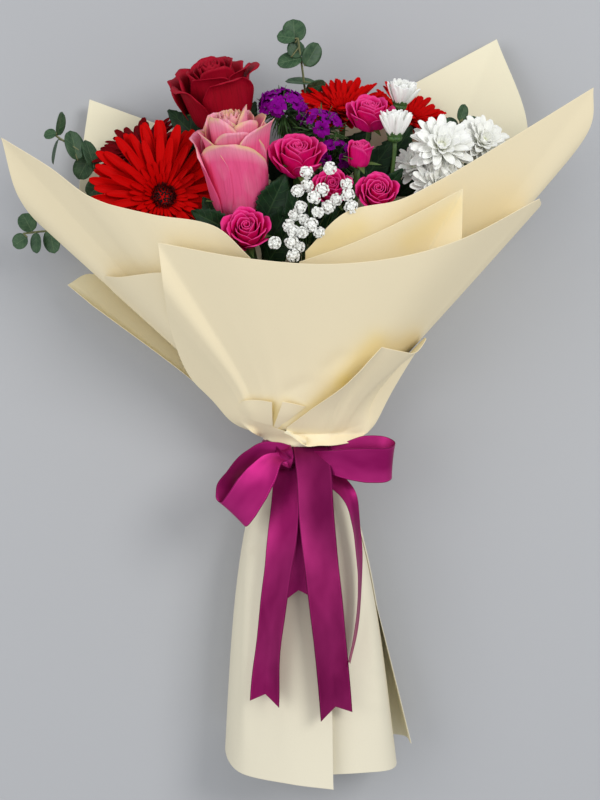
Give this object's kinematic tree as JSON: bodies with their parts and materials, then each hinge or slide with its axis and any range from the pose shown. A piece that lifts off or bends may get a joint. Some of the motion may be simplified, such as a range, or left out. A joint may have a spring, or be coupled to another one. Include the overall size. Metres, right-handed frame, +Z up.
{
  "type": "mixed flower bouquet",
  "caption": "Hand-tied bunch of mixed cut flowers and foliage, lying on its back in layered paper sheets gathered and tied with a ribbon bow.",
  "frame": {"origin": "bottom centre of the whole bouquet as it lies, on the surface that it rests on", "axes": "+Y from the cut ends towards the blooms, +Z up from the surface towards the open side with the bow, +X to the right of someone looking down with the blooms at the far end"},
  "size_m": [0.4268, 0.5508, 0.1662],
  "materials": {
    "paper": "uncoated, soft folds",
    "ribbon": "satin weave",
    "twine": "twisted fibre",
    "rose_pink_petals": "velvety petal",
    "rose_crimson_petals": "velvety petal",
    "spray_rose_petals": "velvety petal",
    "gerbera_petals": "satin petal",
    "gerbera_dark_petals": "satin petal",
    "gerbera_eye": "fine tufts",
    "mum_petals": "soft petal",
    "sweet_william_florets": "soft petal",
    "gypsophila_florets": "ruffled petal",
    "stem": "fresh green stem and leaf",
    "eucalyptus": "waxy leaf"
  },
  "bodies": {
    "root": {"paper_back_left": "paper", "paper_back_right": "paper", "paper_wing_left": "paper", "paper_wing_right": "paper", "paper_middle": "paper", "paper_front": "paper", "paper_low_left": "paper", "paper_fold": "paper", "skirt_right": "paper", "skirt_back": "paper", "skirt_left": "paper", "ribbon_band": "ribbon", "ribbon_tail_right": "ribbon", "ribbon_tail_left": "ribbon", "ribbon_tail_side": "ribbon", "ribbon_loop_right": "ribbon", "ribbon_loop_left": "ribbon", "ribbon_knot": "ribbon", "stem_tie": "twine", "eucalyptus_top": "eucalyptus", "eucalyptus_left_upper": "eucalyptus", "eucalyptus_left_lower": "eucalyptus", "eucalyptus_right": "eucalyptus", "rose_pink": "rose_pink_petals", "rose_crimson": "rose_crimson_petals", "gerbera_left": "gerbera_petals", "gerbera_top": "gerbera_petals", "gerbera_right": "gerbera_petals", "gerbera_dark": "gerbera_dark_petals", "gerbera_left_eye": "gerbera_eye", "gerbera_dark_eye": "gerbera_eye", "spray_rose_a": "spray_rose_petals", "spray_rose_b": "spray_rose_petals", "spray_rose_c": "spray_rose_petals", "spray_rose_d": "spray_rose_petals", "spray_rose_e": "spray_rose_petals", "spray_rose_f": "spray_rose_petals", "gypsophila": "gypsophila_florets", "mum_a": "mum_petals", "mum_b": "mum_petals", "mum_c": "mum_petals", "mum_d": "mum_petals", "mum_e": "mum_petals", "mum_f": "mum_petals", "sweet_william_a": "sweet_william_florets", "sweet_william_b": "sweet_william_florets", "sweet_william_c": "sweet_william_florets", "stem_rose_pink": "stem", "stem_rose_crimson": "stem", "stem_gerbera_left": "stem", "stem_gerbera_dark": "stem", "stem_gerbera_top": "stem", "stem_gerbera_right": "stem", "stem_spray_rose_low": "stem", "stem_spray_rose_left": "stem", "stem_spray_rose_right": "stem", "stem_mum_front": "stem", "stem_mum_back": "stem", "stem_sweet_william_left": "stem", "stem_sweet_william_right": "stem"}
  },
  "joints": []
}
